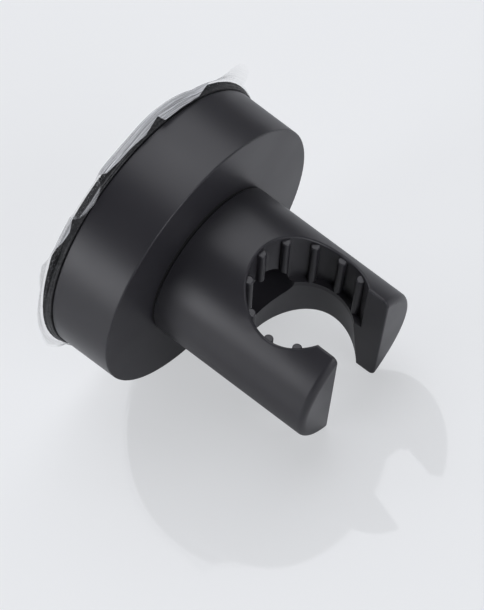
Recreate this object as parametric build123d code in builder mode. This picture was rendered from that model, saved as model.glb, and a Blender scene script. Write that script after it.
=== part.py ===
from build123d import *
import os
from math import cos, hypot, pi, radians, sin, sqrt, tan

# Hand shower holder: a twist-lock suction base that carries a swivelling arm with an open, ribbed socket.
# Frame: origin at the centre of the wall face, +Y into the wall, -Y out into the room, +Z up.
# Levels along the arm are distances from the wall, counted out into the room. Millimetres throughout.

# Clearances
turning_gap = 0.3           # between the turning cup and the pad that stays on the wall
running_fit = 0.05          # radial, between a turning piece and its pivot
sliding_fit = 0.1           # radial, between the stud and the plate that guides it
seat_fit = 0.02             # round pieces that are pressed or screwed in for good
face_gap = 0.1              # between flat faces that rub on each other
washer_room = 0.5           # radial, between the washer under the screw and the arm's core

# Protective film on the suction face
film_thickness = 0.2
film_room = 0.3             # between the film's turned-up edge and the pad
film_edge_height = 2.0
film_flare = 1.4            # how far the turned-up edge leans outwards

# Suction pad
pad_radius = 33.6
pad_thickness = 1.7
pad_edge_radius = 0.6
collar_wall = 1.6
collar_rise = 0.4           # collar height above the stud's flange

# Pull stud, drawn into the cup by the twist
stud_radius = 4.0
stud_flange_radius = 9.0
stud_flange_thickness = 1.2
stud_root_fillet = 0.8
stud_engagement = 3.0       # length inside the nut before the twist
stud_tip_chamfer = 0.6
thread_lead = 3.0
twist_degrees = 180.0

# Press plate, which spreads the cup's push over the pad's edge
plate_room = 1.1            # radial, inside the cup
plate_rim = 2.2
plate_web = 1.6
plate_rib_count = 8
plate_rib = 1.6
plate_rib_room = 0.6        # between the ribs and the pad's collar

# Slip washer between the plate and the cup's hub
slip_thickness = 0.8
slip_bore_room = 0.6

# Base cup
cup_radius = 32.5
cup_depth = 14.75
cup_draft = 1.7             # degrees, wider towards the wall
cup_wall = 2.2
cup_front_wall = 2.5
cup_front_edge = 0.3
cup_back_edge = 0.3
hub_radius = 10.5
gusset_count = 8
gusset_thickness = 1.6
gusset_height = 4.0
gusset_root = 0.6           # how far a gusset runs into the hub and into the wall
spigot_radius = 5.0

# Brass nut in the hub
nut_flats = 12.0
nut_length = 8.0
nut_step_room = 0.4         # between the drawn stud and the step in the nut
screw_hole_room = 0.15      # radial, round the screw in the cup

# Friction ring at the arm's foot
ring_thickness = 0.45
ring_setback = 0.3          # how far its edge lies inside the arm's surface

# Swivel screw and its washers
screw_radius = 2.0
screw_head_radius = 4.0
screw_head_height = 2.8
screw_head_dome = 0.8
screw_engagement = 2.7
screw_tip_chamfer = 0.4
recess_width = 1.1
recess_span = 4.4
recess_depth = 1.5
washer_thickness = 1.0
spring_outer_radius = 3.8
spring_thickness = 0.9
spring_split = 0.8

# Arm
arm_radius = 18.5           # at the foot
arm_draft = 0.7             # degrees, narrower towards the prongs' ends
arm_wall = 3.0              # wall at the foot that turns on the spigot
arm_foot_chamfer = 0.3
arm_end_fillet = 1.5
core_radius = 7.3
pocket_count = 6
pocket_web = 1.8
pocket_core_wall = 2.2
pocket_skin = 2.6

# Socket
socket_offset = 25.8        # from the cup's front face to the socket's axis
prong_length = 14.5         # from the socket's axis to the ends of the prongs
socket_radius = 12.3
socket_ledge = 0.2          # height of the ledge that the ribs stand on
waist_radius = 10.95
waist_length = 1.5
relief_radius = 13.0        # flare of the lower half, at the underside of the arm
slot_width = 16.1
rim_fillet = 0.4
rib_radius = 1.0
rib_height = 1.35           # from the socket's wall
rib_step = 30.0
rib_span = 120.0            # ribs lie up to this angle either side of the wall side
rib_drop = 1.0              # from the rim to the top of a rib
rib_edge = 0.2              # chamfer of a rib's flat top

# Levels from the wall, worked out from the sizes above
pad_front = film_thickness + pad_thickness
flange_front = pad_front + stud_flange_thickness
draw_travel = thread_lead * twist_degrees / 360
web_back = flange_front + draw_travel + turning_gap
web_front = web_back + plate_web
slip_front = web_front + slip_thickness
hub_face = slip_front + face_gap
cup_back = pad_front + turning_gap
cup_front = cup_back + cup_depth
cup_inner_face = cup_front - cup_front_wall
nut_front = hub_face + nut_length
stud_tip = hub_face + stud_engagement
nut_step = stud_tip + draw_travel + nut_step_room
arm_foot = cup_front + ring_thickness
arm_wall_front = arm_foot + arm_wall
spigot_end = arm_wall_front - face_gap
washer_front = arm_wall_front + washer_thickness
spring_front = washer_front + spring_thickness
screw_top = spring_front + screw_head_height
screw_tip = nut_front - screw_engagement
socket_axis = cup_front + socket_offset
arm_end = socket_axis + prong_length

# Radii worked out from the sizes above
cup_back_radius = cup_radius + cup_depth * tan(radians(cup_draft))
cup_inner_radius = cup_radius - cup_wall
collar_bore = stud_flange_radius + turning_gap
collar_radius = collar_bore + collar_wall
plate_radius = cup_inner_radius - plate_room
plate_rim_bore = plate_radius - plate_rim
plate_rib_start = collar_radius + plate_rib_room
washer_radius = core_radius - washer_room
rib_axis_radius = socket_radius - rib_height + rib_radius


def out_from_wall(level: float) -> Plane:
    """Plane parallel to the wall at a level, facing the room, with its x axis along X and its y axis up."""
    return Plane(origin=(0, -level, 0), x_dir=(1, 0, 0), z_dir=(0, -1, 0))


def half_section(*points: tuple[float, float]) -> list[tuple[float, float]]:
    """Turn (radius, level) pairs into points of the XY plane, ready to revolve about the Y axis."""
    return [(radius, -level) for radius, level in points]


def arm_radius_at(level: float) -> float:
    """Radius of the arm's round surface at a level."""
    return arm_radius - (level - arm_foot) * tan(radians(arm_draft))


def on_arm_surface(edge: Edge) -> bool:
    """Whether an edge lies on the arm's round surface, between its foot and its end."""
    samples = [edge @ t for t in (0.1, 0.3, 0.5, 0.7, 0.9)]
    tolerance = arm_radius / 1000
    on_surface = all(abs(hypot(p.X, p.Z) - arm_radius_at(-p.Y)) < tolerance for p in samples)
    between_ends = arm_foot + arm_foot_chamfer + tolerance < -samples[2].Y < arm_end - tolerance
    return on_surface and between_ends


# Arm: one moulding with the open socket, its ribs, the screw tunnel and the pockets behind the foot
with BuildPart() as arm:
    with BuildSketch():
        with BuildLine():
            Polyline(
                *half_section(
                    (0, arm_foot),
                    (arm_radius, arm_foot),
                    (arm_radius_at(arm_end), arm_end),
                    (0, arm_end),
                ),
                close=True,
            )
        make_face()
    revolve(axis=Axis.Y)
    chamfer(arm.faces().sort_by(Axis.Y)[-1].edges(), arm_foot_chamfer)
    fillet(arm.faces().sort_by(Axis.Y)[0].edges(), arm_end_fillet)
    with BuildSketch(out_from_wall(socket_axis)):
        with BuildLine():
            Polyline(
                (0, -arm_radius),
                (relief_radius, -arm_radius),
                (waist_radius, socket_ledge - waist_length),
                (waist_radius, socket_ledge),
                (socket_radius, socket_ledge),
                (socket_radius, arm_radius),
                (0, arm_radius),
                close=True,
            )
        make_face()
    revolve(axis=Axis((0, -socket_axis, 0), (0, 0, 1)), mode=Mode.SUBTRACT)
    with BuildSketch(out_from_wall(socket_axis)):
        Rectangle(slot_width, 2 * arm_radius)
    extrude(amount=arm_end - socket_axis, mode=Mode.SUBTRACT)
    fillet(arm.edges().filter_by(on_arm_surface), rim_fillet)
    for rib in range(round(2 * rib_span / rib_step) + 1):
        rib_angle = radians(rib * rib_step - rib_span)
        rib_x = rib_axis_radius * sin(rib_angle)
        rib_y = rib_axis_radius * cos(rib_angle) - socket_axis
        rim_radius = arm_radius_at(socket_axis - socket_radius * cos(rib_angle))
        rim_height = sqrt(rim_radius**2 - (socket_radius * sin(rib_angle)) ** 2)
        rib_shoulder = rim_height - rib_drop - rib_edge
        with Locations((rib_x, rib_y, socket_ledge)):
            Cylinder(rib_radius, rib_shoulder - socket_ledge, align=(Align.CENTER, Align.CENTER, Align.MIN))
        with Locations((rib_x, rib_y, rib_shoulder)):
            Cone(rib_radius, rib_radius - rib_edge, rib_edge, align=(Align.CENTER, Align.CENTER, Align.MIN))
    with BuildSketch(out_from_wall(arm_wall_front)):
        Circle(core_radius)
    extrude(amount=socket_axis - arm_wall_front, mode=Mode.SUBTRACT)
    with BuildSketch(out_from_wall(arm_foot)):
        Circle(spigot_radius + running_fit)
    extrude(amount=arm_wall, mode=Mode.SUBTRACT)
    with BuildSketch(out_from_wall(arm_foot)):
        Circle(arm_radius - pocket_skin)
        Circle(core_radius + pocket_core_wall, mode=Mode.SUBTRACT)
        with PolarLocations(arm_radius / 2, pocket_count):
            Rectangle(arm_radius, pocket_web, mode=Mode.SUBTRACT)
    extrude(amount=socket_offset - ring_thickness - socket_radius - pocket_skin, mode=Mode.SUBTRACT)

# Base cup: the twist knob, with its hub, gussets and the spigot that the arm turns on
with BuildPart() as base_cup:
    with BuildSketch():
        with BuildLine():
            Polyline(
                *half_section(
                    (0, spigot_end),
                    (spigot_radius, spigot_end),
                    (spigot_radius, cup_front),
                    (cup_radius, cup_front),
                    (cup_back_radius, cup_back),
                    (cup_back_radius - cup_wall, cup_back),
                    (cup_inner_radius, cup_inner_face),
                    (hub_radius, cup_inner_face),
                    (hub_radius, hub_face),
                    (0, hub_face),
                ),
                close=True,
            )
        make_face()
    revolve(axis=Axis.Y)
    rims = base_cup.edges().filter_by(GeomType.CIRCLE)
    fillet(rims.filter_by(lambda e: abs(e.radius - cup_radius) < seat_fit), cup_front_edge)
    fillet(rims.filter_by(lambda e: abs(e.radius - cup_back_radius) < seat_fit), cup_back_edge)
    gusset_length = cup_inner_radius - hub_radius + 2 * gusset_root
    gusset_middle = (cup_inner_radius + hub_radius) / 2
    with BuildSketch(out_from_wall(cup_inner_face - gusset_height)):
        with PolarLocations(gusset_middle, gusset_count):
            Rectangle(gusset_length, gusset_thickness)
    extrude(amount=gusset_height)
    with BuildSketch(out_from_wall(hub_face)):
        RegularPolygon(nut_flats / 2 + seat_fit, 6, major_radius=False)
    extrude(amount=nut_length, mode=Mode.SUBTRACT)
    with BuildSketch(out_from_wall(nut_front)):
        Circle(screw_radius + screw_hole_room)
    extrude(amount=spigot_end - nut_front, mode=Mode.SUBTRACT)

# Hub nut: brass, threaded for the stud from behind and for the swivel screw from the front
with BuildPart() as hub_nut:
    with BuildSketch(out_from_wall(hub_face)):
        RegularPolygon(nut_flats / 2, 6, major_radius=False)
    extrude(amount=nut_length)
    with BuildSketch(out_from_wall(hub_face)):
        Circle(stud_radius + running_fit)
    extrude(amount=nut_step - hub_face, mode=Mode.SUBTRACT)
    with BuildSketch(out_from_wall(nut_step)):
        Circle(screw_radius + seat_fit)
    extrude(amount=nut_front - nut_step, mode=Mode.SUBTRACT)

# Friction ring between the cup and the arm's foot
with BuildPart() as friction_ring:
    with BuildSketch(out_from_wall(cup_front)):
        Circle(arm_radius - ring_setback)
        Circle(spigot_radius + running_fit, mode=Mode.SUBTRACT)
    extrude(amount=ring_thickness)

# Flat washer on the arm's inner wall
with BuildPart() as flat_washer:
    with BuildSketch(out_from_wall(arm_wall_front)):
        Circle(washer_radius)
        Circle(screw_radius + running_fit, mode=Mode.SUBTRACT)
    extrude(amount=washer_thickness)

# Spring washer, split on one side
with BuildPart() as spring_washer:
    with BuildSketch(out_from_wall(washer_front)):
        Circle(spring_outer_radius)
        Circle(screw_radius + running_fit, mode=Mode.SUBTRACT)
        with Locations((0, spring_outer_radius)):
            Rectangle(spring_split, 2 * spring_outer_radius - screw_radius, mode=Mode.SUBTRACT)
    extrude(amount=spring_thickness)

# Swivel screw: domed head with a cross recess, shank up to the nut's step
with BuildPart() as swivel_screw:
    with BuildSketch():
        with BuildLine():
            Polyline(
                *half_section(
                    (0, screw_top),
                    (0, screw_tip),
                    (screw_radius - screw_tip_chamfer, screw_tip),
                    (screw_radius, screw_tip + screw_tip_chamfer),
                    (screw_radius, spring_front),
                    (screw_head_radius, spring_front),
                    (screw_head_radius, screw_top - screw_head_dome),
                )
            )
            ThreePointArc(
                *half_section(
                    (screw_head_radius, screw_top - screw_head_dome),
                    (screw_head_radius * sin(pi / 6), screw_top - screw_head_dome / 4),
                    (0, screw_top),
                )
            )
        make_face()
    revolve(axis=Axis.Y)
    with BuildSketch(out_from_wall(screw_top - recess_depth)):
        with PolarLocations(0, 2, angular_range=90, endpoint=True):
            Rectangle(recess_span, recess_width)
    extrude(amount=recess_depth, mode=Mode.SUBTRACT)

# Slip washer that the cup's hub turns on
with BuildPart() as slip_washer:
    with BuildSketch(out_from_wall(web_front)):
        Circle(hub_radius)
        Circle(stud_radius + slip_bore_room, mode=Mode.SUBTRACT)
    extrude(amount=slip_thickness)

# Press plate: a ribbed dish that stands on the pad's edge
with BuildPart() as press_plate:
    with BuildSketch(out_from_wall(web_back)):
        Circle(plate_radius)
        Circle(stud_radius + sliding_fit, mode=Mode.SUBTRACT)
    extrude(amount=plate_web)
    guide_ring = press_plate.faces().sort_by(Axis.Y)[-1].inner_wires().edges()
    chamfer(guide_ring, stud_root_fillet)
    with BuildSketch(out_from_wall(pad_front)):
        Circle(plate_radius)
        Circle(plate_rim_bore, mode=Mode.SUBTRACT)
    extrude(amount=web_back - pad_front)
    with BuildSketch(out_from_wall(flange_front)):
        with PolarLocations((plate_rib_start + plate_rim_bore + plate_rim / 2) / 2, plate_rib_count):
            Rectangle(plate_rim_bore + plate_rim / 2 - plate_rib_start, plate_rib)
    extrude(amount=web_back - flange_front)

# Pull stud with the flange that the pad holds
with BuildPart() as pull_stud:
    with BuildSketch(out_from_wall(pad_front)):
        Circle(stud_flange_radius)
    extrude(amount=stud_flange_thickness)
    with BuildSketch(out_from_wall(flange_front)):
        Circle(stud_radius)
    extrude(amount=stud_tip - flange_front)
    stud_rings = pull_stud.edges().filter_by(GeomType.CIRCLE).sort_by(Axis.Y)
    chamfer(stud_rings[0], stud_tip_chamfer)
    root_rings = pull_stud.edges().filter_by_position(Axis.Y, -flange_front - seat_fit, -flange_front + seat_fit)
    fillet(root_rings.sort_by(SortBy.RADIUS)[0], stud_root_fillet)

# Suction pad: soft disc with a collar round the stud's flange
with BuildPart() as suction_pad:
    with BuildSketch(out_from_wall(film_thickness)):
        Circle(pad_radius)
    extrude(amount=pad_thickness)
    fillet(suction_pad.edges(), pad_edge_radius)
    with BuildSketch(out_from_wall(pad_front)):
        Circle(collar_radius)
        Circle(collar_bore, mode=Mode.SUBTRACT)
    extrude(amount=stud_flange_thickness + collar_rise)

# Protective film over the suction face, turned up round the pad's edge
with BuildPart() as protective_film:
    film_foot = pad_radius + film_room
    with BuildSketch():
        with BuildLine():
            Polyline(
                *half_section(
                    (0, 0),
                    (film_foot + film_thickness, 0),
                    (film_foot + film_thickness + film_flare, film_edge_height),
                    (film_foot + film_flare, film_edge_height),
                    (film_foot, film_thickness),
                    (0, film_thickness),
                ),
                close=True,
            )
        make_face()
    revolve(axis=Axis.Y)

pieces = {
    "arm": arm,
    "base_cup": base_cup,
    "hub_nut": hub_nut,
    "friction_ring": friction_ring,
    "flat_washer": flat_washer,
    "spring_washer": spring_washer,
    "swivel_screw": swivel_screw,
    "slip_washer": slip_washer,
    "press_plate": press_plate,
    "pull_stud": pull_stud,
    "suction_pad": suction_pad,
    "protective_film": protective_film,
}

os.makedirs("parts", exist_ok=True)
for name, piece in pieces.items():
    piece.part.label = name
    export_step(piece.part, f"parts/{name}.step")
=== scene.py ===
"""Looks of a hand shower holder: a twist-lock suction base with a swivelling arm and an open, ribbed socket.

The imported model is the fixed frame. Lengths are metres, in the wall frame: +Y into the wall, -Y out into the
room, +Z up. A level is a distance from the wall, counted out into the room.
"""

import logging
import math
from collections.abc import Sequence
from dataclasses import dataclass, field
from enum import Enum
from typing import Any

import bmesh
import bpy
import numpy as np
from mathutils import Matrix, Vector


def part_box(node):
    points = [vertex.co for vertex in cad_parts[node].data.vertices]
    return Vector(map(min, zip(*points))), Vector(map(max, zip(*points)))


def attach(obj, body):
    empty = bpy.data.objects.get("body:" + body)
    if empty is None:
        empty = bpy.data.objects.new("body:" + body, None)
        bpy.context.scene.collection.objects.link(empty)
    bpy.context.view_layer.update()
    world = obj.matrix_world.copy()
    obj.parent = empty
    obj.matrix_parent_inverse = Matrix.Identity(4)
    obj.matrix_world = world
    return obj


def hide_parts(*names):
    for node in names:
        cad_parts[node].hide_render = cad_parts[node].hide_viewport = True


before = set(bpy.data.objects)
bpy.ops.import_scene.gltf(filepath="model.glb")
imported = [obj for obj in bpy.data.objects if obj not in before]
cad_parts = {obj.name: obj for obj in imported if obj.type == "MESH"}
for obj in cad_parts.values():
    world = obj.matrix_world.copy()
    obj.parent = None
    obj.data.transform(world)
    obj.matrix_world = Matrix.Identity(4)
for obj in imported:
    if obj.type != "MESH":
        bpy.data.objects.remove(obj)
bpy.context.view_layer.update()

MM = 0.001

WAVE_BANDS = 20

Colour = tuple[float, float, float]
Point = tuple[float, float, float]
Span = tuple[float, float]

log = logging.getLogger("shower_holder")


class Body(Enum):
    """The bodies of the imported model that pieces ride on."""

    WALL_SIDE = "wall_side"
    STUD = "stud"
    CUP = "cup"
    ARM = "arm"


class Slot(Enum):
    """The record's material slots that new pieces take their finish from."""

    STEEL = "steel"
    DARK_STEEL = "dark_steel"
    SOFT_PAD = "soft_pad"
    CLEAR_FILM = "clear_film"


class Graph:
    """Adds nodes to a tree and links them."""

    def __init__(self, tree: bpy.types.NodeTree) -> None:
        """Start on an empty tree.

        Args:
            tree: The shader or geometry tree to fill.
        """
        self.tree = tree
        self.tree.nodes.clear()

    def add(self, kind: str, **settings: Any) -> bpy.types.Node:
        """Add a node.

        Args:
            kind: The node's type name.
            settings: Properties of the node, by name.

        Returns:
            The new node.
        """
        node = self.tree.nodes.new(kind)
        for name, value in settings.items():
            setattr(node, name, value)
        return node

    def link(self, start: bpy.types.NodeSocket, end: bpy.types.NodeSocket) -> None:
        """Link an output to an input."""
        self.tree.links.new(start, end)

    def math(self, operation: str, *values: Any) -> bpy.types.NodeSocket:
        """Add a Math node.

        Args:
            operation: The node's operation.
            values: Sockets or numbers, in the order of the node's inputs.

        Returns:
            The node's output.
        """
        node = self.add("ShaderNodeMath", operation=operation)
        for socket, value in zip(node.inputs, values):
            if isinstance(value, bpy.types.NodeSocket):
                self.link(value, socket)
            else:
                socket.default_value = value
        return node.outputs[0]

    def noise(
        self, coordinates: bpy.types.NodeSocket, scale: float, detail: float = 2.0
    ) -> bpy.types.NodeSocket:
        """Add a noise texture.

        Args:
            coordinates: Where the noise is read.
            scale: Noise cells per unit of the coordinates.
            detail: Octaves of finer noise.

        Returns:
            The noise value, about 0.5 on average.
        """
        node = self.add("ShaderNodeTexNoise")
        node.inputs["Scale"].default_value = scale
        node.inputs["Detail"].default_value = detail
        self.link(coordinates, node.inputs["Vector"])
        return node.outputs["Fac"]

    def ranged(
        self, value: bpy.types.NodeSocket, low: float, high: float, span: Span = (0.3, 0.7)
    ) -> bpy.types.NodeSocket:
        """Map a value from a span to the range from low to high.

        Args:
            value: The value to map.
            low: Result at the span's start.
            high: Result at the span's end.
            span: The values that count as start and end.

        Returns:
            The mapped value's socket.
        """
        node = self.add("ShaderNodeMapRange")
        for name, number in zip(("From Min", "From Max", "To Min", "To Max"), (*span, low, high)):
            node.inputs[name].default_value = number
        self.link(value, node.inputs["Value"])
        return node.outputs["Result"]

    def bump(self, height: bpy.types.NodeSocket, depth: float) -> bpy.types.NodeSocket:
        """Add a bump of a real depth.

        Args:
            height: Height from 0 to 1.
            depth: What a height of 1 stands for.

        Returns:
            The bumped normal.
        """
        node = self.add("ShaderNodeBump")
        node.inputs["Distance"].default_value = depth
        self.link(height, node.inputs["Height"])
        return node.outputs["Normal"]

    def tinted(self, value: bpy.types.NodeSocket, dark: Colour, light: Colour) -> bpy.types.NodeSocket:
        """Mix two colours by a value.

        Args:
            value: 0 for the dark colour, 1 for the light one.
            dark: Colour at 0.
            light: Colour at 1.

        Returns:
            The mixed colour.
        """
        node = self.add("ShaderNodeMix", data_type="RGBA")
        sockets = [s for s in node.inputs if s.type == "RGBA"]
        for socket, colour in zip(sockets, (dark, light)):
            socket.default_value = (*colour, 1.0)
        self.link(value, node.inputs["Factor"])
        return next(s for s in node.outputs if s.type == "RGBA")


def shaded(name: str) -> tuple[bpy.types.Material, Graph, bpy.types.Node, bpy.types.NodeSocket]:
    """Start a material with a Principled shader.

    Args:
        name: The material's name.

    Returns:
        The material, its graph, the shader and the Object coordinates.
    """
    material = bpy.data.materials.new(name)
    material.use_nodes = True
    graph = Graph(material.node_tree)
    shader = graph.add("ShaderNodeBsdfPrincipled")
    output = graph.add("ShaderNodeOutputMaterial")
    graph.link(shader.outputs["BSDF"], output.inputs["Surface"])
    place = graph.add("ShaderNodeTexCoord").outputs["Object"]
    return material, graph, shader, place


def scaled(colour: Colour, share: float) -> Colour:
    """A colour made lighter or darker by a share."""
    red, green, blue = (channel * share for channel in colour)
    return red, green, blue


@dataclass(frozen=True)
class MouldedPlastic:
    """Satin moulded plastic: an even colour, a fine eroded grain and a slightly uneven shine."""

    name: str
    colour: Colour
    roughness: float
    roughness_spread: float = 0.03
    tone_spread: float = 0.06
    grain: float = 0.35 * MM
    grain_depth: float = 0.0012 * MM
    flow: float = 14 * MM

    def material(self) -> bpy.types.Material:
        """Build the finish.

        Returns:
            The material.
        """
        material, graph, shader, place = shaded(self.name)
        grain = graph.noise(place, 1 / self.grain, 3.0)
        flow = graph.noise(place, 1 / self.flow, 2.0)
        tone = graph.tinted(
            flow, scaled(self.colour, 1 - self.tone_spread), scaled(self.colour, 1 + self.tone_spread)
        )
        smoothest = self.roughness - self.roughness_spread
        shine = graph.ranged(flow, smoothest, self.roughness + self.roughness_spread)
        graph.link(tone, shader.inputs["Base Color"])
        graph.link(shine, shader.inputs["Roughness"])
        graph.link(graph.bump(grain, self.grain_depth), shader.inputs["Normal"])
        return material


@dataclass(frozen=True)
class SoftRubber:
    """Soft black pad: dull, with a coarse grain of small pits and light specks on the high spots, partly the
    rubber's bloom and partly painted glints and sheen.
    """

    name: str
    colour: Colour
    bloom_and_glint: Colour
    roughness: float
    grain: float = 0.5 * MM
    grain_depth: float = 0.05 * MM
    specks: Span = (0.55, 0.8)
    pits: float = 0.6
    roughness_spread: float = 0.08

    def material(self) -> bpy.types.Material:
        """Build the finish.

        Returns:
            The material.
        """
        material, graph, shader, place = shaded(self.name)
        cells = graph.add("ShaderNodeTexVoronoi")
        cells.inputs["Scale"].default_value = 1 / self.grain
        graph.link(place, cells.inputs["Vector"])
        speckle = graph.noise(place, 1 / self.grain, 4.0)
        height = graph.math("MULTIPLY_ADD", cells.outputs["Distance"], self.pits, speckle)
        # Light specks: partly the rubber's bloom, partly painted glints and sheen.
        tone = graph.tinted(graph.ranged(speckle, 0.0, 1.0, self.specks), self.colour, self.bloom_and_glint)
        graph.link(tone, shader.inputs["Base Color"])
        dullest = self.roughness + self.roughness_spread
        shine = graph.ranged(speckle, dullest, self.roughness - self.roughness_spread)
        graph.link(shine, shader.inputs["Roughness"])
        graph.link(graph.bump(height, self.grain_depth), shader.inputs["Normal"])
        return material


@dataclass(frozen=True)
class TurnedMetal:
    """Metal with the fine rings that turning leaves round the holder's axis, under a thin plating."""

    name: str
    colour: Colour
    roughness: float
    ring_pitch: float = 0.16 * MM
    ring_depth: float = 0.002 * MM
    ring_wander: float = 1.5
    cloud: float = 2.5 * MM
    tone_shares: Span = (0.86, 1.1)
    roughness_spread: Span = (-0.06, 0.08)

    def material(self) -> bpy.types.Material:
        """Build the finish.

        Returns:
            The material.
        """
        material, graph, shader, place = shaded(self.name)
        rings = graph.add("ShaderNodeTexWave", wave_type="RINGS", rings_direction="Y")
        rings.inputs["Scale"].default_value = 1 / self.ring_pitch / WAVE_BANDS
        rings.inputs["Distortion"].default_value = self.ring_wander
        graph.link(place, rings.inputs["Vector"])
        cloud = graph.noise(place, 1 / self.cloud, 3.0)
        dark, light = (scaled(self.colour, share) for share in self.tone_shares)
        graph.link(graph.tinted(cloud, dark, light), shader.inputs["Base Color"])
        smoothest, dullest = (self.roughness + change for change in self.roughness_spread)
        graph.link(graph.ranged(cloud, smoothest, dullest), shader.inputs["Roughness"])
        graph.link(graph.bump(rings.outputs["Fac"], self.ring_depth), shader.inputs["Normal"])
        shader.inputs["Metallic"].default_value = 1.0
        return material


@dataclass(frozen=True)
class ClearFilm:
    """Thin clear film: see-through where it lies flat, milky and streaked where it is folded and pulled. Its
    milkiness also paints the highlights where folds and the free edge catch the light, and its lighter and
    darker streaks are painted light and shade of the crinkles.

    Its streaks are measured in the millimetres of its UV map, which runs round the pad and then outwards.
    """

    name: str
    colour: Colour
    roughness: float
    veil_and_highlight: str
    streak_length: float = 9.0
    streak_width: float = 0.16
    streak_slant: float = math.radians(7)
    streak_depth: float = 0.06 * MM
    patch: float = 9 * MM
    patch_range: Span = (0.42, 0.58)
    pulled: Span = (32.6, 34.0)
    veil_share: Span = (0.5, 1.35)
    veil_span: Span = (0.35, 0.66)
    shade: float = 0.6
    shade_span: Span = (0.38, 0.62)

    def material(self) -> bpy.types.Material:
        """Build the finish.

        Returns:
            The material.
        """
        material, graph, shader, place = shaded(self.name)
        along = graph.add("ShaderNodeUVMap", uv_map="film")
        stretch = graph.add("ShaderNodeMapping")
        stretch.inputs["Scale"].default_value = (1 / self.streak_length, 1 / self.streak_width, 1.0)
        stretch.inputs["Rotation"].default_value = (0.0, 0.0, self.streak_slant)
        graph.link(along.outputs["UV"], stretch.inputs["Vector"])
        streaks = graph.noise(stretch.outputs["Vector"], 1.0, 4.0)
        veil_and_highlight = graph.add("ShaderNodeAttribute", attribute_name=self.veil_and_highlight)
        split = graph.add("ShaderNodeSeparateXYZ")
        graph.link(along.outputs["UV"], split.inputs["Vector"])
        pulled = graph.ranged(split.outputs["Y"], 0.0, 1.0, self.pulled)
        air = graph.ranged(graph.noise(place, 1 / self.patch, 3.0), *self.patch_range)
        streaks = graph.math("MULTIPLY_ADD", graph.math("SUBTRACT", streaks, air), pulled, air)
        # The veil attribute holds the film's milkiness together with its painted highlights on folds and the
        # free edge.
        lift = graph.ranged(streaks, *self.veil_share, self.veil_span)
        graph.link(graph.math("MULTIPLY", veil_and_highlight.outputs["Fac"], lift), shader.inputs["Alpha"])
        # Lighter and darker streaks: painted light and shade of the crinkles.
        light = graph.ranged(streaks, 0.0, 1.0, self.shade_span)
        tone = graph.tinted(light, scaled(self.colour, self.shade), self.colour)
        graph.link(tone, shader.inputs["Base Color"])
        graph.link(graph.bump(streaks, self.streak_depth), shader.inputs["Normal"])
        shader.inputs["Roughness"].default_value = self.roughness
        return material


Finish = MouldedPlastic | SoftRubber | TurnedMetal | ClearFilm

SATIN_BLACK = MouldedPlastic("satin black plastic", (0.0295, 0.0285, 0.0335), 0.36)
PLATE_BLACK = MouldedPlastic("plain black plastic", (0.026, 0.0255, 0.028), 0.5)
RING_BLACK = MouldedPlastic("dull black ring", (0.012, 0.012, 0.013), 0.65)
NATURAL_ACETAL = MouldedPlastic("natural acetal", (0.74, 0.73, 0.69), 0.34, tone_spread=0.02)
# The pad's lighter specks are partly its bloom and partly a painted sheen.
PAD_BLACK = SoftRubber(
    "soft black pad", (0.013, 0.013, 0.014), (0.055, 0.055, 0.058), 0.47, specks=(0.42, 0.75)
)
# The lip's near-white specks are painted glints, standing in for light catching its grain.
LIP_BLACK = SoftRubber(
    "soft black lip", (0.009, 0.009, 0.01), (0.36, 0.37, 0.38), 0.5, 0.3 * MM, specks=(0.57, 0.72)
)
NUT_BRASS = TurnedMetal("turned brass", (0.72, 0.54, 0.25), 0.28)
ZINC_STEEL = TurnedMetal("zinc plated steel", (0.58, 0.59, 0.6), 0.3)
BLACK_ZINC = TurnedMetal("black zinc steel", (0.075, 0.075, 0.082), 0.36)
# The film's veil attribute carries its milkiness and its painted highlights.
CLEAR_SHEET = ClearFilm("clear film", (0.8, 0.81, 0.83), 0.2, "veil_and_highlight")


def dress(node: str, finish: Finish) -> None:
    """Give a CAD node a finish.

    Args:
        node: The CAD node's name.
        finish: The node's finish.
    """
    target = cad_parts[node]
    material = finish.material()
    target.data.materials.clear()
    target.data.materials.append(material)
    log.info("%s: %s", node, material.name)


def linked(name: str, mesh: bpy.types.Mesh) -> bpy.types.Object:
    """Put a mesh in the scene.

    Args:
        name: The object's name.
        mesh: The mesh, with its place in its points.

    Returns:
        The object, at the origin.
    """
    piece = bpy.data.objects.new(name, mesh)
    bpy.context.scene.collection.objects.link(piece)
    return piece


def made_plain(piece: bpy.types.Object) -> None:
    """Turn a piece with modifiers into a plain mesh.

    Args:
        piece: The object whose modifiers are applied and removed.
    """
    graph = bpy.context.evaluated_depsgraph_get()
    shaped = piece.evaluated_get(graph)
    mesh = bpy.data.meshes.new_from_object(shaped, preserve_all_data_layers=True, depsgraph=graph)
    mesh.name = piece.name
    piece.modifiers.clear()
    piece.data = mesh


def merged(piece: bpy.types.Object, gap: float) -> None:
    """Merge points that a cut left almost on top of each other.

    Args:
        piece: A piece with a plain mesh.
        gap: Points closer than this become one.
    """
    form = bmesh.new()
    form.from_mesh(piece.data)
    bmesh.ops.remove_doubles(form, verts=form.verts, dist=gap)
    bmesh.ops.dissolve_degenerate(form, dist=gap, edges=form.edges)
    form.to_mesh(piece.data)
    form.free()


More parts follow.
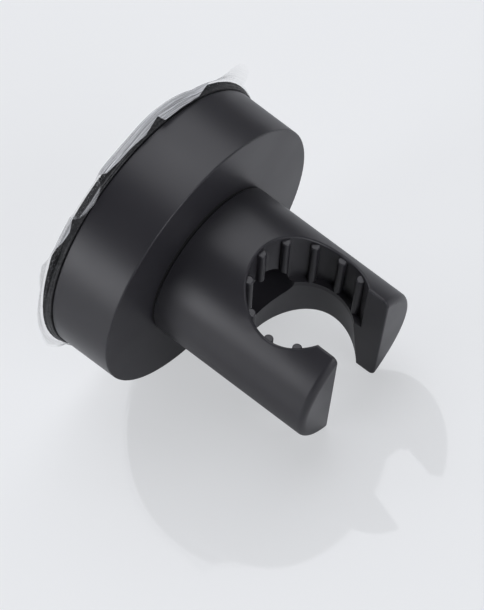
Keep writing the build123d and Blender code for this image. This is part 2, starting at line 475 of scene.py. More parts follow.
def lathe(name: str, profile: Sequence[tuple[float, float]], segments: int) -> bpy.types.Mesh:
    """Turn a profile about the holder's axis into a closed mesh.

    Args:
        name: The mesh's name.
        profile: (radius, level) pairs, from the axis and back to it.
        segments: Faces round the axis.

    Returns:
        The mesh, with its faces pointing outwards.
    """
    form = bmesh.new()
    rings = []
    for radius, level in profile:
        if radius == 0:
            rings.append([form.verts.new((0.0, -level, 0.0))])
            continue
        turns = [2 * math.pi * k / segments for k in range(segments)]
        rings.append([form.verts.new((radius * math.cos(a), -level, radius * math.sin(a))) for a in turns])
    for lower, upper in zip(rings, rings[1:]):
        for k in range(segments):
            nxt = (k + 1) % segments
            order = ((lower, k), (lower, nxt), (upper, nxt), (upper, k))
            corners = [ring[j % len(ring)] for ring, j in order]
            form.faces.new(list(dict.fromkeys(corners)))
    bmesh.ops.recalc_face_normals(form, faces=form.faces)
    mesh = bpy.data.meshes.new(name)
    form.to_mesh(mesh)
    form.free()
    return mesh


@dataclass(frozen=True)
class HelicalThread:
    """A thread cut into a shank that lies on the holder's axis."""

    lead: float
    depth: float
    start: float
    end: float
    runout: float
    shank: float
    flank: float = 1.35
    root_blend: float = 0.12
    tolerance: float = 0.02 * MM
    least_radius: float = 0.1 * MM

    def tree(self) -> bpy.types.NodeTree:
        """Build the Geometry Nodes tree that cuts the thread.

        Returns:
            The tree, with named inputs for its sizes and the material.
        """
        tree = bpy.data.node_groups.new("helical thread", "GeometryNodeTree")
        sides = tree.interface
        sides.new_socket(name="Geometry", in_out="INPUT", socket_type="NodeSocketGeometry")
        for name in ("Lead", "Depth", "Start", "End", "Runout", "Shank"):
            sides.new_socket(name=name, in_out="INPUT", socket_type="NodeSocketFloat")
        sides.new_socket(name="Finish", in_out="INPUT", socket_type="NodeSocketMaterial")
        sides.new_socket(name="Geometry", in_out="OUTPUT", socket_type="NodeSocketGeometry")
        graph = Graph(tree)
        given = graph.add("NodeGroupInput").outputs
        place = graph.add("GeometryNodeInputPosition").outputs[0]
        parts = graph.add("ShaderNodeSeparateXYZ")
        graph.link(place, parts.inputs[0])
        x, y, z = parts.outputs
        level = graph.math("MULTIPLY", y, -1.0)
        squares = graph.math("ADD", graph.math("MULTIPLY", x, x), graph.math("MULTIPLY", z, z))
        radius = graph.math("SQRT", squares)
        turn = graph.math("DIVIDE", graph.math("ARCTAN2", z, x), 2 * math.pi)
        phase = graph.math("FRACT", graph.math("SUBTRACT", graph.math("DIVIDE", level, given["Lead"]), turn))
        ramp = graph.math("ABSOLUTE", graph.math("MULTIPLY_ADD", phase, 2.0, -1.0))
        groove = graph.math("SMOOTH_MIN", graph.math("MULTIPLY", ramp, self.flank), 1.0, self.root_blend)
        opening = graph.math("DIVIDE", graph.math("SUBTRACT", level, given["Start"]), given["Runout"])
        closing = graph.math("DIVIDE", graph.math("SUBTRACT", given["End"], level), given["Runout"])
        ends = graph.math("MINIMUM", graph.math("MINIMUM", opening, closing), 1.0)
        fade = graph.math("MAXIMUM", ends, 0.0)
        on_shank = graph.math("COMPARE", radius, given["Shank"], self.tolerance)
        deepest = graph.math("MULTIPLY", given["Depth"], on_shank)
        cut = graph.math("MULTIPLY", graph.math("MULTIPLY", groove, fade), deepest)
        apart = graph.math("MAXIMUM", radius, self.least_radius)
        share = graph.math("DIVIDE", graph.math("MULTIPLY", cut, -1.0), apart)
        inward = graph.add("ShaderNodeCombineXYZ")
        graph.link(graph.math("MULTIPLY", x, share), inward.inputs["X"])
        graph.link(graph.math("MULTIPLY", z, share), inward.inputs["Z"])
        moved = graph.add("GeometryNodeSetPosition")
        graph.link(given["Geometry"], moved.inputs["Geometry"])
        graph.link(inward.outputs[0], moved.inputs["Offset"])
        whole = graph.add("GeometryNodeRealizeInstances")
        graph.link(moved.outputs["Geometry"], whole.inputs["Geometry"])
        dressed = graph.add("GeometryNodeSetMaterial")
        graph.link(whole.outputs["Geometry"], dressed.inputs["Geometry"])
        graph.link(given["Finish"], dressed.inputs["Material"])
        graph.link(dressed.outputs["Geometry"], graph.add("NodeGroupOutput").inputs[0])
        return tree

    def cut(self, piece: bpy.types.Object, finish: Finish) -> None:
        """Cut the thread into a piece and leave a plain mesh.

        Args:
            piece: A turned piece with rings close together on its shank.
            finish: The finish of the whole piece.
        """
        tree = self.tree()
        modifier = piece.modifiers.new("thread", "NODES")
        modifier.node_group = tree
        sizes = {
            "Lead": self.lead,
            "Depth": self.depth,
            "Start": self.start,
            "End": self.end,
            "Runout": self.runout,
            "Shank": self.shank,
            "Finish": finish.material(),
        }
        for item in tree.interface.items_tree:
            if item.in_out == "INPUT" and item.name in sizes:
                modifier[item.identifier] = sizes[item.name]
        made_plain(piece)


def shank_levels(start: float, end: float, step: float) -> list[float]:
    """Levels from start to end, no further apart than step."""
    count = max(1, math.ceil(abs(end - start) / step))
    return [start + (end - start) * k / count for k in range(count + 1)]


@dataclass
class SwivelArm:
    """The arm with its socket, and the washers that turn with it."""

    nodes: dict[str, Finish] = field(
        default_factory=lambda: {"arm": SATIN_BLACK, "flat_washer": BLACK_ZINC, "spring_washer": BLACK_ZINC}
    )

    def build(self) -> None:
        """Dress the arm's nodes."""
        for node, finish in self.nodes.items():
            dress(node, finish)


@dataclass
class TwistCup:
    """The cup that is turned by hand, with its nut, its friction ring and the swivel screw."""

    screw_radius: float = 2.0 * MM
    head_radius: float = 4.0 * MM
    head_dome: float = 0.8 * MM
    tip_chamfer: float = 0.4 * MM
    head_height: float = 2.8 * MM
    recess_width: float = 1.1 * MM
    recess_span: float = 4.4 * MM
    recess_depth: float = 1.5 * MM
    thread_pitch: float = 0.7 * MM
    thread_depth: float = 0.36 * MM
    thread_length: float = 4.8 * MM
    sliver: float = 0.002 * MM
    segments: int = 64
    dome_steps: int = 10
    rings_per_turn: int = 12

    def build(self) -> None:
        """Dress the cup's nodes and make the screw with its thread."""
        dress("base_cup", SATIN_BLACK)
        dress("hub_nut", NUT_BRASS)
        dress("friction_ring", RING_BLACK)
        self.screw()

    def profile(self, tip: float, top: float) -> list[tuple[float, float]]:
        """Half section of the screw.

        Args:
            tip: Level of the screw's tip.
            top: Level of the top of its head.

        Returns:
            (radius, level) pairs from the tip to the top of the head.
        """
        shoulder = tip + self.tip_chamfer
        thread_end = tip + self.thread_length
        step = self.thread_pitch / self.rings_per_turn
        shank = [(self.screw_radius, s) for s in shank_levels(shoulder, thread_end, step)]
        head_side = top - self.head_dome
        head_under = top - self.head_height
        dome = [
            (self.head_radius * math.cos(a), head_side + self.head_dome * math.sin(a))
            for a in (math.pi / 2 * k / self.dome_steps for k in range(self.dome_steps))
        ]
        return [
            (0.0, tip),
            (self.screw_radius - self.tip_chamfer, tip),
            *shank,
            (self.screw_radius, head_under),
            (self.head_radius, head_under),
            (self.head_radius, head_side),
            *dome[1:-1],
            (0.0, top),
        ]

    def screw(self) -> None:
        """Make the screw: a turned form, a cross recess in its head and a thread on its shank."""
        low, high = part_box("swivel_screw")
        tip, top = -high.y, -low.y
        name = "swivel_screw_threaded"
        piece = linked(name, lathe(name, self.profile(tip, top), self.segments))
        for angle in (0.0, math.pi / 2):
            cutter = self.recess(angle, top)
            cut = piece.modifiers.new("recess", "BOOLEAN")
            cut.operation = "DIFFERENCE"
            cut.solver = "EXACT"
            cut.object = cutter
            made_plain(piece)
            merged(piece, self.sliver)
            bpy.data.objects.remove(cutter)
        HelicalThread(
            lead=self.thread_pitch,
            depth=self.thread_depth,
            start=tip - self.thread_pitch / 2,
            end=tip + self.thread_length,
            runout=self.thread_pitch,
            shank=self.screw_radius,
        ).cut(piece, BLACK_ZINC)
        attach(piece, Body.CUP.value)
        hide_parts("swivel_screw")
        log.info("%s: %d faces", piece.name, len(piece.data.polygons))

    def recess(self, angle: float, top: float) -> bpy.types.Object:
        """Make one bar of the cross recess.

        Args:
            angle: Turn about the screw's axis.
            top: Level of the top of the head.

        Returns:
            A box to cut with.
        """
        form = bmesh.new()
        bmesh.ops.create_cube(form, size=1.0)
        size = Matrix.Diagonal((self.recess_span, 2 * self.recess_depth, self.recess_width, 1.0))
        place = Matrix.Translation((0.0, -top, 0.0)) @ Matrix.Rotation(angle, 4, "Y") @ size
        bmesh.ops.transform(form, matrix=place, verts=form.verts)
        mesh = bpy.data.meshes.new("recess")
        form.to_mesh(mesh)
        form.free()
        return linked("recess", mesh)


@dataclass
class PullStud:
    """The stud that the twist draws into the cup."""

    radius: float = 4.0 * MM
    flange_radius: float = 9.0 * MM
    flange_thickness: float = 1.2 * MM
    root_fillet: float = 0.8 * MM
    tip_chamfer: float = 0.6 * MM
    lead: float = 3.0 * MM
    depth: float = 0.55 * MM
    plain_length: float = 2.2 * MM
    segments: int = 96
    fillet_steps: int = 6
    rings_per_turn: int = 24

    def build(self) -> None:
        """Make the stud with its flange and its coarse thread."""
        low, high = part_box("pull_stud")
        back, tip = -high.y, -low.y
        flange_front = back + self.flange_thickness
        bend = self.root_fillet
        fillet = [
            (self.radius + bend * (1 - math.sin(a)), flange_front + bend * (1 - math.cos(a)))
            for a in (math.pi / 2 * k / self.fillet_steps for k in range(self.fillet_steps + 1))
        ]
        shoulder = tip - self.tip_chamfer
        thread_start = flange_front + self.root_fillet + self.plain_length
        step = self.lead / self.rings_per_turn
        shank = [(self.radius, s) for s in shank_levels(thread_start, shoulder, step)]
        profile = [
            (0.0, back),
            (self.flange_radius, back),
            (self.flange_radius, flange_front),
            *fillet,
            *shank,
            (self.radius - self.tip_chamfer, tip),
            (0.0, tip),
        ]
        name = "pull_stud_threaded"
        piece = linked(name, lathe(name, profile, self.segments))
        HelicalThread(
            lead=self.lead,
            depth=self.depth,
            start=thread_start,
            end=tip + self.lead,
            runout=self.lead / 4,
            shank=self.radius,
        ).cut(piece, ZINC_STEEL)
        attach(piece, Body.STUD.value)
        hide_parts("pull_stud")
        log.info("%s: %d faces", piece.name, len(piece.data.polygons))


@dataclass(frozen=True)
class FilmStretch:
    """How the film runs at one angle round the pad's edge, with its lengths in millimetres.

    The angle is in degrees from +X towards +Z. The spread is how far the film lies flat past the pad before it
    turns. The run is its free length from there. The fold is how far it is turned up towards the cup, in
    degrees, and past 90 it leans back over the pad. The veil is how milky it is, from 0 to 1, and it also
    paints the highlights of folds that catch the light. The hem is the width of a strip along its free edge,
    the hem veil is how milky that strip is, and where it is milkier than the film it is a painted highlight
    along the edge. The hem fade is the share of it that is lost at the very edge.
    """

    angle: float
    spread: float
    run: float
    fold: float
    veil_and_highlight: float
    hem: float = 0.25
    hem_veil_and_highlight: float = 0.5
    hem_fade: float = 0.0


@dataclass
class WallPad:
    """What stays on the wall: the soft pad with its lip and film, the press plate and the slip washer."""

    pad_radius: float = 33.6 * MM
    lip_root: float = 32.9 * MM
    lip_back: float = 0.16 * MM
    lip_front: float = 1.0 * MM
    lip_round: float = 0.25 * MM
    lip_grain: float = 0.07 * MM
    lip_rows: int = 5
    lip_swell: tuple[tuple[float, float], ...] = (
        (0, 0.2),
        (120, 0.2),
        (138, 0.2),
        (142.5, 0.4),
        (146.3, 1.45),
        (152, 0.9),
        (160, 0.55),
        (168.5, 0.25),
        (180, 0.15),
        (250, 0.15),
        (268, 0.5),
        (284, 0.2),
    )
    bead_root: float = 32.0 * MM
    bead_radius: float = 33.35 * MM
    bead_back: float = 1.6 * MM
    bead_front: float = 2.12 * MM
    film_level: float = 0.1 * MM
    film_thickness: float = 0.06 * MM
    film_gap: float = 0.1 * MM
    bend_radius: float = 0.3 * MM
    flat_veil: float = 0.07
    steps_round: int = 720
    steps_free: int = 26
    hem_blend: float = 0.25 * MM
    pleat_depth: float = 0.16 * MM
    pleat_start: float = 1.2 * MM
    pleat_lift: float = 0.8
    pleat_sets: tuple[tuple[int, float], ...] = ((47, 0.5), (83, 0.3), (131, 0.2))
    veil_rise: float = 4.0
    flat_shares: tuple[float, ...] = (0.15, 0.3, 0.45, 0.6, 0.72, 0.82, 0.9, 0.96)
    flat_size: tuple[float, float] = (0.0775, 0.0775)
    flat_area: float = 0.0042
    seed: int = 41
    edge: tuple[FilmStretch, ...] = (
        FilmStretch(8, 0.3, 0.6, 40, 0.25),
        FilmStretch(22, 0.3, 0.4, 30, 0.2, 0.3, 0.1),
        FilmStretch(27, 0.3, 0.6, 20, 0.12, 0.4, 0.05, 0.8),
        FilmStretch(31, 0.3, 3.4, 8, 0.07, 2.8, 0.06, 0.9),
        FilmStretch(36, 0.3, 4.4, 7, 0.1, 3.6, 0.08, 0.9),
        FilmStretch(42.5, 0.3, 4.7, 7, 0.24, 3.4, 0.16, 0.9),
        FilmStretch(47, 0.3, 3.2, 12, 0.42, 2.0, 0.24, 0.8),
        FilmStretch(53, 0.3, 1.9, 34, 0.62, 0.8, 0.4, 0.6),
        FilmStretch(57, 0.4, 0.6, 60, 0.7, 0.25, 0.8),
        FilmStretch(61, 0.35, 1.3, 95, 0.88, 0.25, 0.9),
        FilmStretch(66.5, 0.3, 2.4, 95, 0.88, 0.25, 0.85),
        FilmStretch(72, 1.0, 2.7, 112, 0.9, 0.25, 0.9),
        FilmStretch(78, 1.7, 3.0, 124, 0.9, 0.25, 0.9),
        FilmStretch(85.3, 2.1, 3.2, 126, 0.9, 0.25, 0.9),
        FilmStretch(86.6, 2.2, 1.65, 135, 0.9, 0.25, 0.9),
        FilmStretch(90, 2.2, 2.2, 132, 0.9, 0.25, 0.9),
        FilmStretch(94, 2.0, 2.75, 128, 0.9, 0.25, 0.9),
        FilmStretch(100, 1.55, 2.15, 126, 0.9, 0.25, 0.9),
        FilmStretch(106, 1.45, 2.1, 126, 0.88, 0.25, 0.9),
        FilmStretch(112, 1.6, 1.75, 130, 0.85, 0.25, 0.9),
        FilmStretch(114.5, 1.2, 0.5, 60, 0.3),
        FilmStretch(116.5, 0.6, 1.9, 91, 0.03, 0.1, 0.03, 0.8),
        FilmStretch(118.5, 0.5, 2.5, 91, 0.02, 0.5, 0.6, 0.9),
        FilmStretch(122.5, 0.5, 3.05, 92, 0.02, 0.95, 0.66, 0.95),
        FilmStretch(126.5, 0.5, 2.65, 91, 0.02, 0.7, 0.66, 0.9),
        FilmStretch(129.5, 0.6, 1.9, 92, 0.04, 0.15, 0.08),
        FilmStretch(131, 1.2, 0.9, 110, 0.35, 0.25, 0.45),
        FilmStretch(135.5, 1.2, 1.7, 120, 0.5, 0.3, 0.95),
        FilmStretch(140, 1.2, 1.3, 115, 0.45, 0.3, 0.9),
        FilmStretch(143.5, 1.2, 0.6, 70, 0.3, 0.25, 0.6),
        FilmStretch(146.5, 1.6, 0.4, 20, 0.2, 0.2, 0.15),
        FilmStretch(148.2, 1.6, 2.6, 10, 0.26, 0.35, 0.22),
        FilmStretch(153, 1.2, 2.3, 10, 0.26, 0.35, 0.16),
        FilmStretch(161, 0.7, 1.1, 14, 0.3, 0.3, 0.2),
        FilmStretch(168, 0.5, 1.2, 14, 0.3, 0.3, 0.2),
        FilmStretch(175, 0.4, 1.5, 14, 0.26, 0.35, 0.16),
        FilmStretch(188, 0.4, 1.5, 12, 0.2, 0.4, 0.08),
        FilmStretch(199, 0.4, 2.2, 10, 0.16, 0.5, 0.04),
        FilmStretch(206, 0.4, 1.6, 12, 0.14, 0.5, 0.04),
        FilmStretch(213, 0.3, 0.6, 30, 0.2),
        FilmStretch(226, 0.6, 1.4, 60, 0.35, 0.25, 0.7),
        FilmStretch(240, 1.0, 2.2, 115, 0.6, 0.25, 0.8),
        FilmStretch(262, 1.3, 2.4, 125, 0.75, 0.25, 0.9),
        FilmStretch(285, 1.0, 1.8, 110, 0.6, 0.25, 0.8),
        FilmStretch(300, 0.6, 2.2, 40, 0.4, 0.25, 0.6),
        FilmStretch(318, 0.4, 3.0, 12, 0.25, 0.3, 0.5),
        FilmStretch(336, 0.5, 1.5, 60, 0.4, 0.25, 0.7),
        FilmStretch(350, 0.4, 0.8, 50, 0.3),
    )

    def build(self) -> None:
        """Dress the nodes, add the pad's lip and bead and lay the film on the pad."""
        dress("suction_pad", PAD_BLACK)
        dress("press_plate", PLATE_BLACK)
        dress("slip_washer", NATURAL_ACETAL)
        self.lip()
        self.bead()
        self.film()

    def turns(self) -> np.ndarray:
        """Angles round the pad, in degrees."""
        return np.arange(self.steps_round) * 360 / self.steps_round

    def swell(self, turn: np.ndarray) -> np.ndarray:
        """How far the pad's soft lip stands out past the pad.

        Args:
            turn: Angles in degrees.

        Returns:
            The swell at each angle.
        """
        angles, sizes = zip(*self.lip_swell)
        return MM * np.interp(turn, angles, sizes, period=360)

    def lip(self) -> None:
        """Make the soft, uneven lip that the pad's back layer forms round its edge."""
        turn = self.turns()
        draw = np.random.default_rng(self.seed)
        outer = self.pad_radius + self.swell(turn)
        corner = self.lip_round
        first, last = self.lip_back + corner, self.lip_front - corner
        section = [(outer, first + (last - first) * k / self.lip_rows) for k in range(self.lip_rows + 1)]
        grain = [draw.uniform(-1, 1, len(turn)) * self.lip_grain for _ in section]
        rows = [(np.full_like(turn, self.lip_root), self.lip_back), (outer - corner, self.lip_back)]
        rows += [(radius + rough, level) for (radius, level), rough in zip(section, grain)]
        rows += [(outer - corner, self.lip_front), (np.full_like(turn, self.lip_root), self.lip_front)]
        self.ring("pad_soft_lip", rows, LIP_BLACK)

    def bead(self) -> None:
        """Make the low bead on the pad's front edge, which nearly closes the gap to the cup."""
        still = np.ones(self.steps_round)
        edge, back, front = self.bead_radius, self.bead_back, self.bead_front
        corner = (front - back) / 4
        rows = [(self.bead_root * still, back), (edge * still, back), (edge * still, front - corner)]
        rows += [((edge - corner) * still, front), (self.bead_root * still, front)]
        self.ring("pad_edge_bead", rows, PAD_BLACK)

    def ring(self, name: str, rows: Sequence[tuple[np.ndarray, float]], finish: SoftRubber) -> None:
        """Join rings of points round the pad into a closed soft piece.

        Args:
            name: The piece's name.
            rows: For each ring its radius at each angle and its level.
            finish: The piece's finish.
        """
        turn = self.turns()
        across, up = np.cos(np.radians(turn)), np.sin(np.radians(turn))
        points = np.concatenate(
            [np.stack([r * across, np.full_like(r, -level), r * up], 1) for r, level in rows]
        )
        count = len(turn)
        faces = []
        for ring in range(len(rows)):
            low, high = ring * count, (ring + 1) % len(rows) * count
            for k in range(count):
                after = (k + 1) % count
                faces.append((low + k, low + after, high + after, high + k))
        mesh = bpy.data.meshes.new(name)
        mesh.from_pydata(points.tolist(), [], faces)
        form = bmesh.new()
        form.from_mesh(mesh)
        bmesh.ops.recalc_face_normals(form, faces=form.faces)
        form.to_mesh(mesh)
        form.free()
        mesh.materials.append(finish.material())
        piece = linked(name, mesh)
        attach(piece, Body.WALL_SIDE.value)
        log.info("%s: %d faces", piece.name, len(mesh.polygons))

    def along_edge(self, turn: np.ndarray, name: str) -> np.ndarray:
        """Read one measure of the film's edge at angles round the pad.

        Args:
            turn: Angles in degrees.
            name: The measure's name in FilmStretch.

        Returns:
            The measure at each angle, straight between the stated stretches.
        """
        angles, sizes = zip(*((stretch.angle, getattr(stretch, name)) for stretch in self.edge))
        return np.interp(turn, angles, sizes, period=360)

    def pleats(self, turn: np.ndarray) -> np.ndarray:
        """Sharp, uneven pleats round the film's edge.

        Args:
            turn: Angles in degrees.

        Returns:
            Heights from about -1 to 1.
        """
        draw = np.random.default_rng(self.seed)
        heights = np.zeros_like(turn)
        for count, weight in self.pleat_sets:
            knots = np.sort(draw.uniform(0, 360, count))
            heights += weight * np.interp(turn, knots, draw.uniform(-1, 1, count), period=360)
        return heights

    def film(self) -> None:
        """Make the film: flat under the pad, crinkled and turned up round the pad's edge."""
        turn = self.turns()
        spread, run, hem = (MM * self.along_edge(turn, name) for name in ("spread", "run", "hem"))
        fold, veil_and_highlight, hem_veil_and_highlight, hem_fade = (
            self.along_edge(turn, name) for name in ("fold", "veil_and_highlight", "hem_veil_and_highlight", "hem_fade")
        )
        fold = np.radians(fold)
        pleat = self.pleats(turn)
        still = np.ones_like(turn)
        start = self.pad_radius + np.maximum(spread, self.swell(turn) + self.film_gap)
        reach = self.pad_radius
        rows = [
            (share * start, self.film_level * still, self.flat_veil * still, share * reach * still)
            for share in self.flat_shares
        ]
        for k in range(self.steps_free + 1):
            share = k / self.steps_free
            free = run * share
            bend = np.minimum(free, self.bend_radius * fold)
            rest = free - bend
            angle = bend / self.bend_radius
            out = start + self.bend_radius * np.sin(angle) + rest * np.cos(angle)
            rise = self.film_level + self.bend_radius * (1 - np.cos(angle)) + rest * np.sin(angle)
            wave = self.pleat_depth * pleat * np.minimum(free / self.pleat_start, 1.0)
            out = np.maximum(out + wave * np.sin(angle), self.pad_radius + self.swell(turn) + self.film_gap)
            rise = rise + np.abs(wave) * np.abs(np.cos(angle)) * self.pleat_lift
            # This milkiness also paints highlights: on folds that catch the light, and on the hem where it is
            # milkier than the film.
            milk_and_highlight = self.flat_veil + (veil_and_highlight - self.flat_veil) * min(1.0, self.veil_rise * share)
            hemmed = np.clip((free - run + hem) / self.hem_blend + 0.5, 0.0, 1.0)
            across = np.clip((free - run + hem) / hem, 0.0, 1.0)
            milk_and_highlight = milk_and_highlight + (hem_veil_and_highlight * (1 - hem_fade * across) - milk_and_highlight) * hemmed
            rows.append((out, rise, milk_and_highlight, reach + free))
        mesh = self.film_mesh(turn, rows)
        piece = linked("clear_film_sheet", mesh)
        mesh.materials.append(CLEAR_SHEET.material())
        wall = piece.modifiers.new("thickness", "SOLIDIFY")
        wall.thickness = self.film_thickness
        wall.offset = 0.0
        made_plain(piece)
        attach(piece, Body.WALL_SIDE.value)
        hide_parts("protective_film")
        log.info("%s: %d faces", piece.name, len(piece.data.polygons))

    def film_mesh(
        self, turn: np.ndarray, rows: Sequence[tuple[np.ndarray, np.ndarray, np.ndarray, np.ndarray]]
    ) -> bpy.types.Mesh:
        """Join rings of points into the film's mesh.

        Args:
            turn: Angles of a ring's points, in degrees.
            rows: For each ring its radius, level, veil with its painted highlights, and run from the middle.

        Returns:
            The mesh with a UV map along the film and its veil, painted highlights included, as an attribute.
        """
        count = len(turn)
        across, up = np.cos(np.radians(turn)), np.sin(np.radians(turn))
        points = [np.array([[0.0, -self.film_level, 0.0]])]
        points += [np.stack([out * across, -rise, out * up], 1) for out, rise, _, _ in rows]
        faces = [(0, 1 + k, 1 + (k + 1) % count) for k in range(count)]
        for ring in range(len(rows) - 1):
            low, high = 1 + ring * count, 1 + (ring + 1) * count
            for k in range(count):
                after = (k + 1) % count
                faces.append((low + k, high + k, high + after, low + after))
        mesh = bpy.data.meshes.new("clear_film_sheet")
        mesh.from_pydata(np.concatenate(points).tolist(), [], faces)
        veil_and_highlight = mesh.attributes.new("veil_and_highlight", "FLOAT", "POINT")
        milk_and_highlight = np.concatenate([[self.flat_veil]] + [v for _, _, v, _ in rows])
        veil_and_highlight.data.foreach_set("value", milk_and_highlight.astype(np.float32))
        run = np.concatenate([[0.0]] + [r for _, _, _, r in rows])
        spot = np.concatenate([[0.0]] + [turn] * len(rows))
        layer = mesh.uv_layers.new(name="film")
        for face in mesh.polygons:
            spots = [spot[mesh.loops[k].vertex_index] for k in face.loop_indices]
            wraps = max(spots) - min(spots) > 180
            for k, angle in zip(face.loop_indices, spots):
                whole = angle + 360 if wraps and angle < 180 else angle
                length = math.radians(whole) * self.pad_radius / MM
                layer.data[k].uv = (length, run[mesh.loops[k].vertex_index] / MM)
            face.use_smooth = True
        return mesh


@dataclass(frozen=True)
class SoftLamp:
    """A soft box, seen from the holder in one direction, with an even brightness over its face."""

    name: str
    towards: Point
    distance: float
    size: Span
    brightness: float
    colour: Colour = (0.965, 0.975, 1.02)
    aim: Point = (0.0, -30 * MM, 0.0)

    def build(self) -> None:
        """Hang the lamp so that it faces the holder."""
        data = bpy.data.lights.new(self.name, "AREA")
        data.shape = "ELLIPSE"
        data.size, data.size_y = self.size
        area = math.pi / 4 * self.size[0] * self.size[1]
        data.energy = self.brightness * math.pi * area
        data.color = self.colour
        lamp = bpy.data.objects.new(self.name, data)
        away = Vector(self.towards).normalized()
        lamp.location = Vector(self.aim) + away * self.distance
        lamp.rotation_mode = "QUATERNION"
        lamp.rotation_quaternion = (-away).to_track_quat("-Z", "Y")
        bpy.context.scene.collection.objects.link(lamp)
        log.info("lamp %s", self.name)


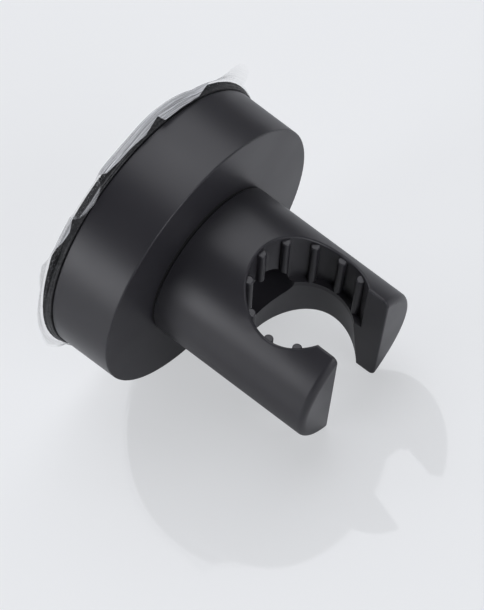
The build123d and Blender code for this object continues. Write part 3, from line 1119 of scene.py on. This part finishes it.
@dataclass
class Studio:
    """Camera, soft light and the pale, slightly glossy table that the holder lies on."""

    camera_place: Point = (-133.281 * MM, -127.793 * MM, 293.196 * MM)
    camera_right: Point = (0.64399, -0.76454, 0.02781)
    camera_up: Point = (0.66086, 0.57424, 0.48324)
    camera_back: Point = (-0.38542, -0.29282, 0.87505)
    lens: float = 93.762
    sensor: float = 36.0
    clip: Span = (0.01, 20.0)
    table_normal: Point = (0.036, 0.3993, 0.9161)
    table_drop: float = 37.24 * MM
    table_half: float = 3.0
    table_colour: Colour = (0.88, 0.89, 0.90)
    table_glow: Colour = (0.965, 0.98, 1.0)
    table_glow_share: Span = (0.5, 0.85)
    table_glow_reach: Span = (0.25, 0.8)
    table_gloss: float = 0.13
    table_gloss_roughness: float = 0.06
    surround: Colour = (0.83, 0.84, 0.87)
    mirrored: float = 0.12
    lamps: tuple[SoftLamp, ...] = (
        SoftLamp("right box", (0.60, 0.34, 0.72), 1.2, (0.85, 0.85), 1.64),
        SoftLamp("top box", (0.14, 0.30, 0.94), 1.2, (0.70, 0.70), 1.95),
        SoftLamp("left box", (-0.89, 0.39, 0.12), 0.8, (0.46, 0.42), 3.4),
        SoftLamp("front box", (-0.15, -0.68, 0.69), 1.0, (0.66, 0.62), 3.7),
        SoftLamp("back box", (0.22, 0.90, 0.38), 1.2, (1.40, 0.95), 1.45),
    )

    def build(self) -> None:
        """Set up the view, the light and the table."""
        scene = bpy.context.scene
        scene.view_settings.view_transform = "Standard"
        self.camera(scene)
        self.world(scene)
        for lamp in self.lamps:
            lamp.build()
        self.table()

    def camera(self, scene: bpy.types.Scene) -> None:
        """Place the camera at the photograph's viewing angle.

        Args:
            scene: The scene that the camera looks at.
        """
        data = bpy.data.cameras.new("camera")
        data.lens = self.lens
        data.sensor_width = self.sensor
        data.clip_start, data.clip_end = self.clip
        camera = bpy.data.objects.new("camera", data)
        turn = Matrix((self.camera_right, self.camera_up, self.camera_back)).transposed().to_4x4()
        camera.matrix_world = Matrix.Translation(self.camera_place) @ turn
        scene.collection.objects.link(camera)
        scene.camera = camera

    def world(self, scene: bpy.types.Scene) -> None:
        """Show a pale room past the table, which is dimmed in reflections and lights nothing else.

        Args:
            scene: The scene that the room surrounds.
        """
        world = bpy.data.worlds.new("studio")
        world.use_nodes = True
        scene.world = world
        graph = Graph(world.node_tree)
        room = graph.add("ShaderNodeBackground")
        room.inputs["Color"].default_value = (*self.surround, 1.0)
        graph.link(self.seen(graph), room.inputs["Strength"])
        graph.link(room.outputs[0], graph.add("ShaderNodeOutputWorld").inputs["Surface"])

    def seen(self, graph: Graph) -> bpy.types.NodeSocket:
        """Tell the rays that look at the background from those that light the scene.

        Args:
            graph: The graph to add the test to.

        Returns:
            1 for camera and transmission rays, the mirrored share for glossy rays and 0 for the rest.
        """
        rays = graph.add("ShaderNodeLightPath").outputs
        shown = graph.math("MULTIPLY", rays["Is Glossy Ray"], self.mirrored)
        shown = graph.math("MAXIMUM", shown, rays["Is Camera Ray"])
        return graph.math("MAXIMUM", shown, rays["Is Transmission Ray"])

    def table(self) -> None:
        """Make the table under the holder, open from below."""
        normal = Vector(self.table_normal).normalized()
        side = Vector((1.0, 0.0, 0.0))
        deep = normal.cross(side)
        middle = -normal * self.table_drop
        reach = self.table_half
        signs = ((-1, -1), (1, -1), (1, 1), (-1, 1))
        corners = [middle + side * a * reach + deep * b * reach for a, b in signs]
        mesh = bpy.data.meshes.new("table")
        mesh.from_pydata([tuple(c) for c in corners], [], [(0, 1, 2, 3)])
        table = linked("table", mesh)
        mesh.materials.append(self.table_finish())

    def table_finish(self) -> bpy.types.Material:
        """Build the table's pale, slightly glossy finish.

        Returns:
            The material, clear from below.
        """
        material = bpy.data.materials.new("pale table")
        material.use_nodes = True
        graph = Graph(material.node_tree)
        matt = graph.add("ShaderNodeBsdfDiffuse")
        matt.inputs["Color"].default_value = (*self.table_colour, 1.0)
        gloss = graph.add("ShaderNodeBsdfGlossy")
        gloss.inputs["Roughness"].default_value = self.table_gloss_roughness
        top = graph.add("ShaderNodeMixShader")
        top.inputs["Fac"].default_value = self.table_gloss
        graph.link(matt.outputs[0], top.inputs[1])
        graph.link(gloss.outputs[0], top.inputs[2])
        glow = graph.add("ShaderNodeEmission")
        glow.inputs["Color"].default_value = (*self.table_glow, 1.0)
        away = graph.add("ShaderNodeVectorMath", operation="LENGTH")
        graph.link(graph.add("ShaderNodeTexCoord").outputs["Object"], away.inputs[0])
        share = graph.ranged(away.outputs["Value"], *self.table_glow_share, self.table_glow_reach)
        pale = graph.add("ShaderNodeMixShader")
        graph.link(graph.math("MULTIPLY", self.seen(graph), share), pale.inputs["Fac"])
        graph.link(top.outputs[0], pale.inputs[1])
        graph.link(glow.outputs[0], pale.inputs[2])
        clear = graph.add("ShaderNodeBsdfTransparent")
        faced = graph.add("ShaderNodeMixShader")
        graph.link(graph.add("ShaderNodeNewGeometry").outputs["Backfacing"], faced.inputs["Fac"])
        graph.link(pale.outputs[0], faced.inputs[1])
        graph.link(clear.outputs[0], faced.inputs[2])
        graph.link(faced.outputs[0], graph.add("ShaderNodeOutputMaterial").inputs["Surface"])
        return material


def main() -> None:
    """Build the sub-assemblies and the studio in order."""
    logging.basicConfig(level=logging.INFO, format="%(name)s: %(message)s")
    for assembly in (SwivelArm(), TwistCup(), PullStud(), WallPad(), Studio()):
        log.info("building %s", type(assembly).__name__)
        assembly.build()


if __name__ == "__main__":
    main()
